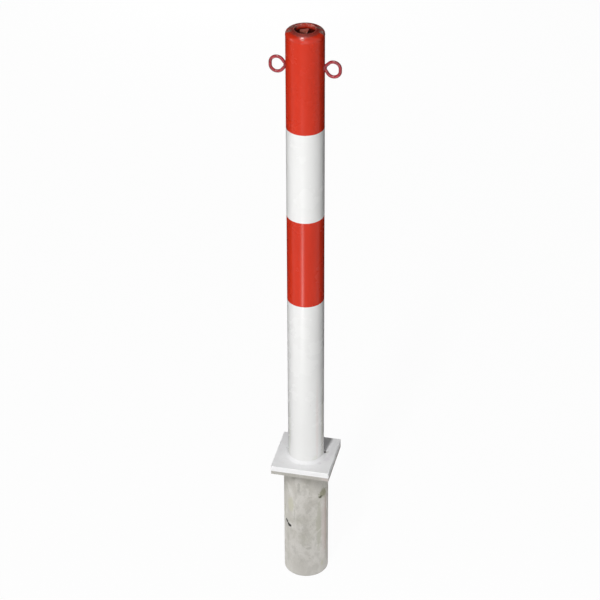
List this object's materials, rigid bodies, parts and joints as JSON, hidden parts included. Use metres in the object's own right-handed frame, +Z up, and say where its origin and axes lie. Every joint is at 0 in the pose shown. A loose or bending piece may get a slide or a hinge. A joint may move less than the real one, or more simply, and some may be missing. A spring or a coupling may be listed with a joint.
{
  "type": "removable bollard",
  "caption": "Red and white banded post with chain eyes and a key-operated quarter-turn lock, which lifts out of a flanged ground sleeve.",
  "frame": {"origin": "on the post's axis, at the underside of the sleeve's flange, which is level with the ground", "axes": "+Z up along the post, +X through the right chain eye, +Y to the back; the square plates lie along X and Y"},
  "size_m": [0.144, 0.125, 1.317],
  "materials": {
    "galvanised_steel": "hot-dip galvanised, dull and stained",
    "post_paint": "white gloss paint with red bands",
    "white_paint": "white gloss paint",
    "red_paint": "red gloss paint",
    "raw_steel": "machined or welded steel, oiled",
    "bare_lock_steel": "turned steel, worn by the key",
    "spring_steel": "blackened spring steel",
    "zinc_plate": "bright zinc plate",
    "nylon": "natural nylon"
  },
  "bodies": {
    "sleeve": {"ground_sleeve": "galvanised_steel", "flange_plate": "galvanised_steel", "flange_weld": "galvanised_steel", "keeper_plate": "galvanised_steel", "keeper_weld": "galvanised_steel"},
    "post": {"post_tube": "post_paint", "head_cap": "red_paint", "head_seam_weld": "red_paint", "key_collar": "red_paint", "collar_weld": "raw_steel", "bearing_disc": "raw_steel", "stop_pin": "raw_steel", "base_plate": "white_paint", "base_weld_rear": "white_paint", "base_weld_front": "white_paint", "mid_guide_disc": "raw_steel", "mid_guide_bush": "nylon", "foot_disc": "post_paint", "foot_weld": "post_paint", "foot_bush": "nylon", "chain_eye_left": "red_paint", "chain_eye_right": "red_paint", "eye_weld_left": "red_paint", "eye_weld_right": "red_paint"},
    "lock": {"lock_spindle": "bare_lock_steel", "spindle_washer": "zinc_plate", "retaining_ring": "spring_steel", "spindle_roll_pin": "spring_steel", "lock_rod": "zinc_plate", "latch_bar": "zinc_plate", "latch_washer": "zinc_plate", "latch_nut": "zinc_plate"}
  },
  "joints": [
    {"name": "post_lift", "type": "slide", "parent": "sleeve", "child": "post", "axis": [0, 0, 1], "range_m": [0, 0.32]},
    {"name": "lock_turn", "type": "hinge", "parent": "post", "child": "lock", "pos_m": [0, 0, 1], "axis": [0, 0, 1], "range_deg": [0, 90]}
  ]
}
